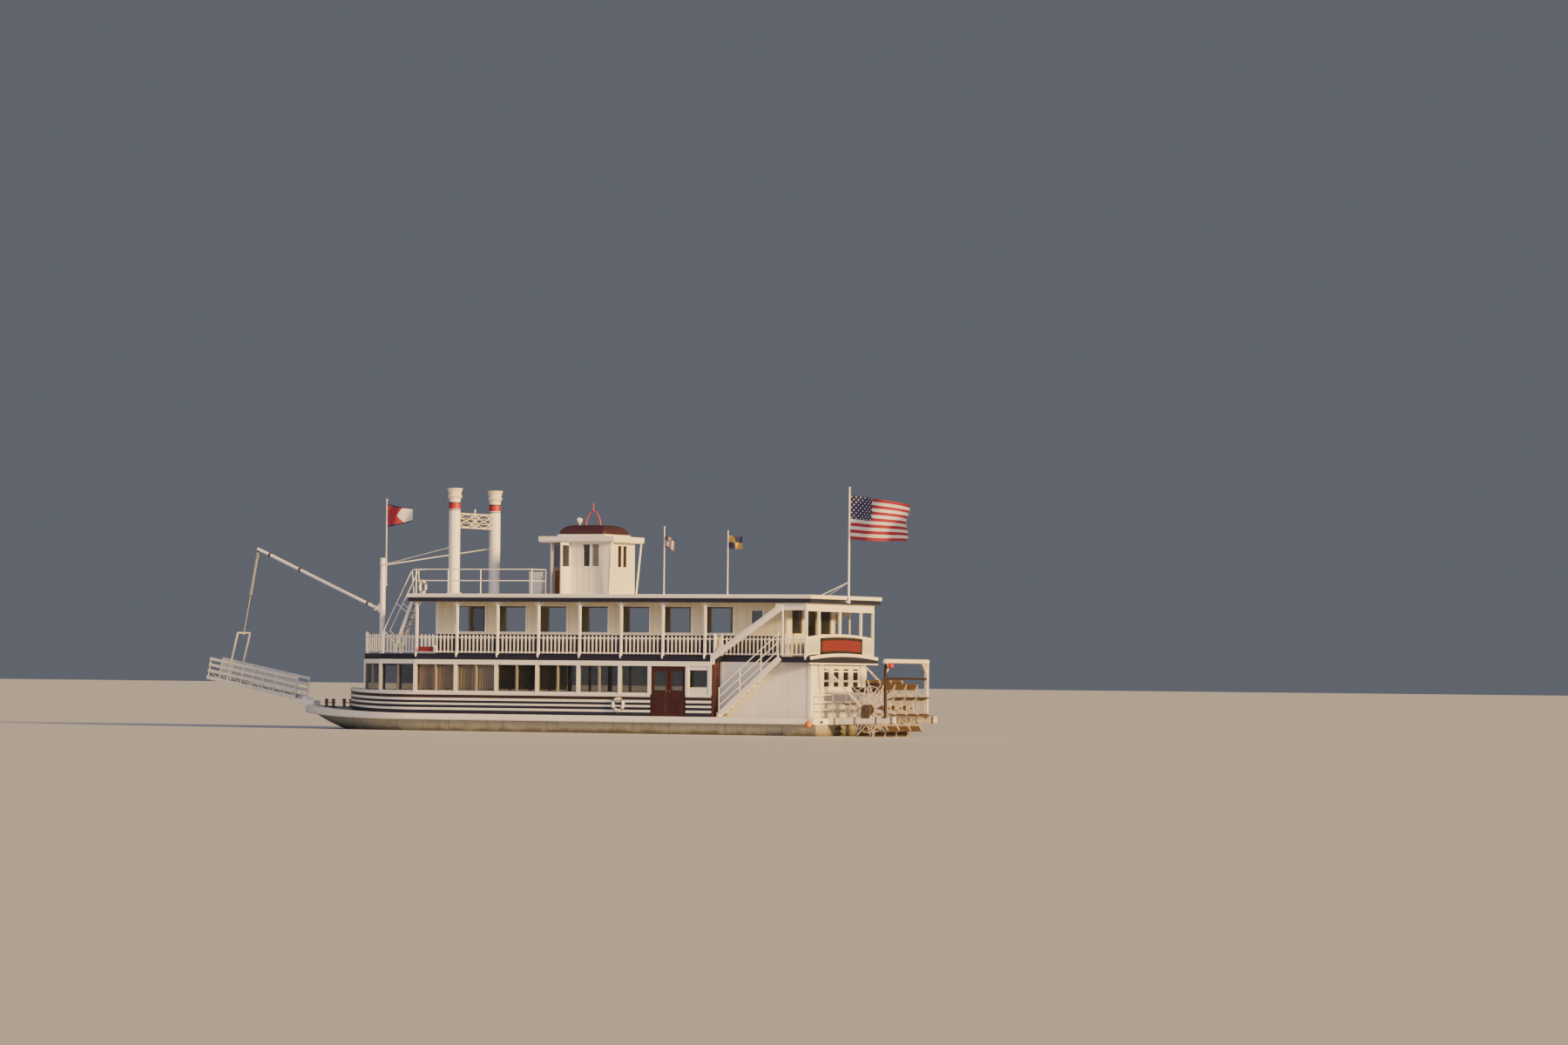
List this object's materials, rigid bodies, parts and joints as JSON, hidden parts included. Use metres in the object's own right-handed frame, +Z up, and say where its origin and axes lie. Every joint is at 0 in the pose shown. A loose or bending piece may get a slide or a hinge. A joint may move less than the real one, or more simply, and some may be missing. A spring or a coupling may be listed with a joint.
{
  "type": "sternwheel excursion steamer",
  "caption": "Double-deck excursion boat with a stern paddle wheel, pilothouse, tall stacks and a bow landing stage slung from a boom.",
  "frame": {"origin": "on the waterline, on the boat's centreline, abreast of the middle of the main-deck house", "axes": "+X towards the bow, +Y to port, +Z up"},
  "size_m": [31.7431, 6.6703, 10.65],
  "materials": {
    "white_paint": "brushed white gloss paint, weathered along edges",
    "white_metal": "smooth white enamel on thin metal",
    "cream_paint": "cream oil paint",
    "navy_paint": "navy oil paint, part of it striped white",
    "hull_paint": "off-white hull paint, stained near the waterline",
    "maroon_paint": "dark maroon oil paint",
    "red_paint": "red oil paint",
    "black_steel": "black paint on plate, faintly rusted",
    "engine_grey": "grey machinery enamel",
    "weathered_wheel": "red-brown paint worn down on steel arms and wet wood",
    "window_glass": "dark window glass",
    "curtain_cloth": "plain woven curtain cloth",
    "flag_cloth": "light bunting",
    "rope": "laid natural rope and painted blocks",
    "ring_foam": "painted canvas over foam",
    "fender_rubber": "orange inflated vinyl"
  },
  "bodies": {
    "root": {"window_wall_port": "white_paint", "window_wall_starboard": "white_paint", "bow_wall": "white_paint", "machinery_wall_port": "white_paint", "machinery_wall_starboard": "white_paint", "machinery_wall_aft": "white_paint", "stair_port": "white_paint", "stair_starboard": "white_paint", "balustrade_port": "white_paint", "balustrade_starboard": "white_paint", "stern_screen": "white_paint", "roof": "white_paint", "roof_locker": "white_paint", "pilothouse_wall_port": "white_paint", "pilothouse_wall_starboard": "white_paint", "pilothouse_wall_aft": "white_paint", "pilothouse_wall_fore": "white_paint", "pilothouse_canopy": "white_paint", "wheel_frame": "white_paint", "roof_rail": "white_metal", "bow_ladder": "white_metal", "stack_port": "white_metal", "stack_starboard": "white_metal", "stack_scrolls": "white_metal", "mast": "white_metal", "cabin_wall_port": "cream_paint", "cabin_wall_starboard": "cream_paint", "cabin_wall_fore": "cream_paint", "cabin_wall_aft": "cream_paint", "bulwark": "navy_paint", "upper_deck": "navy_paint", "hull": "hull_paint", "after_bulkhead": "maroon_paint", "pilothouse_dome": "maroon_paint", "sign_board": "red_paint", "dome_arch": "red_paint", "engine": "engine_grey", "glass_port": "window_glass", "glass_starboard": "window_glass", "curtain_port": "curtain_cloth", "curtain_starboard": "curtain_cloth", "flag_bow": "flag_cloth", "flag_stern": "flag_cloth", "flag_roof_fore": "flag_cloth", "flag_roof_aft": "flag_cloth", "life_ring": "ring_foam", "ball_fender": "fender_rubber"},
    "rudder_port": {"rudder_port": "black_steel"},
    "rudder_starboard": {"rudder_starboard": "black_steel"},
    "door_port_fore": {"door_port_fore": "maroon_paint"},
    "door_port_aft": {"door_port_aft": "maroon_paint"},
    "door_starboard_fore": {"door_starboard_fore": "maroon_paint"},
    "door_starboard_aft": {"door_starboard_aft": "maroon_paint"},
    "pilothouse_door_port": {"pilothouse_door_port": "white_paint"},
    "pilothouse_door_starboard": {"pilothouse_door_starboard": "white_paint"},
    "boom": {"boom": "white_metal"},
    "falls": {"falls": "rope"},
    "landing_stage": {"landing_stage": "white_metal"},
    "paddle_wheel": {"paddle_wheel": "weathered_wheel"}
  },
  "joints": [
    {"name": "paddle_wheel_spin", "type": "hinge", "parent": "root", "child": "paddle_wheel", "pos_m": [-12.8, 0, 1.05], "axis": [0, 1, 0], "continuous": true},
    {"name": "rudder_port_turn", "type": "hinge", "parent": "root", "child": "rudder_port", "pos_m": [-11.33, 1.15, 0], "axis": [0, 0, 1], "range_deg": [-35, 35]},
    {"name": "rudder_starboard_turn", "type": "hinge", "parent": "root", "child": "rudder_starboard", "pos_m": [-11.33, -1.15, 0], "axis": [0, 0, 1], "range_deg": [-35, 35]},
    {"name": "door_port_fore_hinge", "type": "hinge", "parent": "root", "child": "door_port_fore", "pos_m": [-4.138, 3.032, 1.67], "axis": [0, 0, 1], "range_deg": [0, 95]},
    {"name": "door_port_aft_hinge", "type": "hinge", "parent": "root", "child": "door_port_aft", "pos_m": [-5.617, 3.032, 1.67], "axis": [0, 0, 1], "range_deg": [-95, 0]},
    {"name": "door_starboard_fore_hinge", "type": "hinge", "parent": "root", "child": "door_starboard_fore", "pos_m": [-4.138, -3.032, 1.67], "axis": [0, 0, 1], "range_deg": [-95, 0]},
    {"name": "door_starboard_aft_hinge", "type": "hinge", "parent": "root", "child": "door_starboard_aft", "pos_m": [-5.617, -3.032, 1.67], "axis": [0, 0, 1], "range_deg": [0, 95]},
    {"name": "pilothouse_door_port_hinge", "type": "hinge", "parent": "root", "child": "pilothouse_door_port", "pos_m": [0.579, 1.02, 6.46], "axis": [0, 0, 1], "range_deg": [-90, 0]},
    {"name": "pilothouse_door_starboard_hinge", "type": "hinge", "parent": "root", "child": "pilothouse_door_starboard", "pos_m": [0.579, -1.02, 6.46], "axis": [0, 0, 1], "range_deg": [-90, 0]},
    {"name": "boom_luff", "type": "hinge", "parent": "root", "child": "boom", "pos_m": [9.986, 0, 4.886], "axis": [0, -1, 0], "range_deg": [-12, 10]},
    {"name": "falls_swing", "type": "hinge", "parent": "boom", "child": "falls", "pos_m": [15.5758, 0, 7.2702], "axis": [0, -1, 0], "range_deg": [-17, 20.4]},
    {"name": "landing_stage_luff", "type": "hinge", "parent": "root", "child": "landing_stage", "pos_m": [13.33, 0, 1.225], "axis": [0, -1, 0], "range_deg": [-21.6, 18]}
  ],
  "couplings": [
    {"joint": "rudder_starboard_turn", "follows": "rudder_port_turn", "ratio": 1},
    {"joint": "falls_swing", "follows": "boom_luff", "ratio": -1.7},
    {"joint": "landing_stage_luff", "follows": "boom_luff", "ratio": 1.8}
  ]
}
